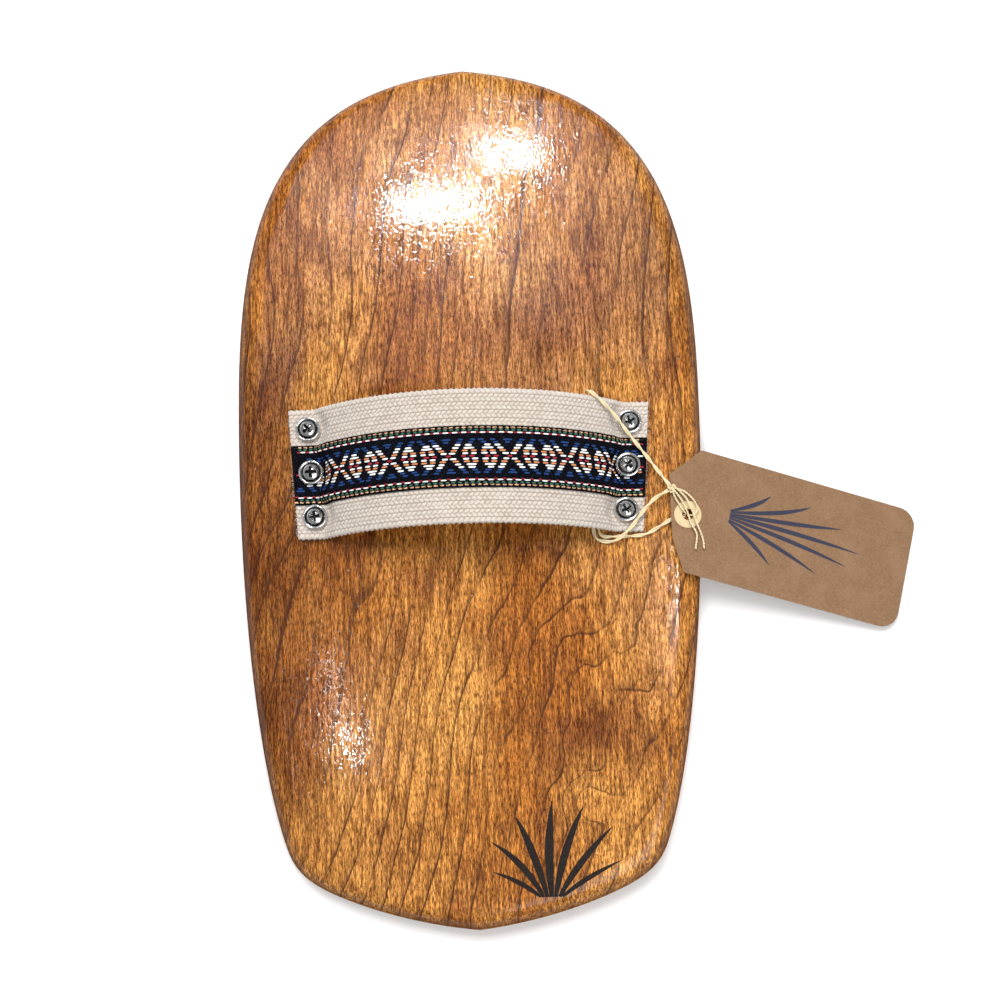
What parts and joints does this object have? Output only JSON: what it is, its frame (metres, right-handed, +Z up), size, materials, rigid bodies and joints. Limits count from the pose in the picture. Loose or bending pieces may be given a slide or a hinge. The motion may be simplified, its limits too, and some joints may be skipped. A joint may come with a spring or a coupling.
{
  "type": "bodysurfing handplane",
  "caption": "Wooden bodysurfing hand board with an arched webbing hand strap, screws in cup washers, a woven ribbon and a card swing tag on a string.",
  "frame": {"origin": "middle of the board's footprint, on the surface its flat underside rests on", "axes": "+Y towards the nose of the board, +X to the right seen from above, +Z up out of the deck"},
  "size_m": [0.2626, 0.34, 0.0479],
  "materials": {
    "varnished_wood": "gloss varnish",
    "cotton_webbing": "coarse weave",
    "woven_ribbon": "woven with a pattern of white, red, orange, blue and green floats",
    "black_thread": "thread",
    "chrome": "polished",
    "kraft_card": "matt",
    "cream_paper": "matt",
    "cotton_string": "soft twisted cotton"
  },
  "bodies": {
    "handplane": {"board": "varnished_wood", "strap_webbing": "cotton_webbing", "strap_ribbon": "woven_ribbon", "ribbon_stitching_nose_side": "black_thread", "ribbon_stitching_tail_side": "black_thread", "cup_washer_left_nose": "chrome", "cup_washer_left_middle": "chrome", "cup_washer_left_tail": "chrome", "cup_washer_right_nose": "chrome", "cup_washer_right_middle": "chrome", "cup_washer_right_tail": "chrome", "screw_left_nose": "chrome", "screw_left_middle": "chrome", "screw_left_tail": "chrome", "screw_right_nose": "chrome", "screw_right_middle": "chrome", "screw_right_tail": "chrome", "string_loop": "cotton_string", "string_return": "cotton_string"},
    "tag": {"tag_card": "kraft_card", "tag_patch_front": "cream_paper", "tag_patch_back": "cream_paper", "string_tie_right": "cotton_string", "string_tie_left": "cotton_string", "string_tail_long": "cotton_string", "string_tail_short": "cotton_string", "string_knot": "cotton_string"}
  },
  "joints": [
    {"name": "tag_swing", "type": "hinge", "parent": "handplane", "child": "tag", "pos_m": [0.0761, -0.0148, 0.0195], "axis": [0, -1, 0], "range_deg": [0, 95], "deforming": ["string_loop", "string_return"]}
  ]
}
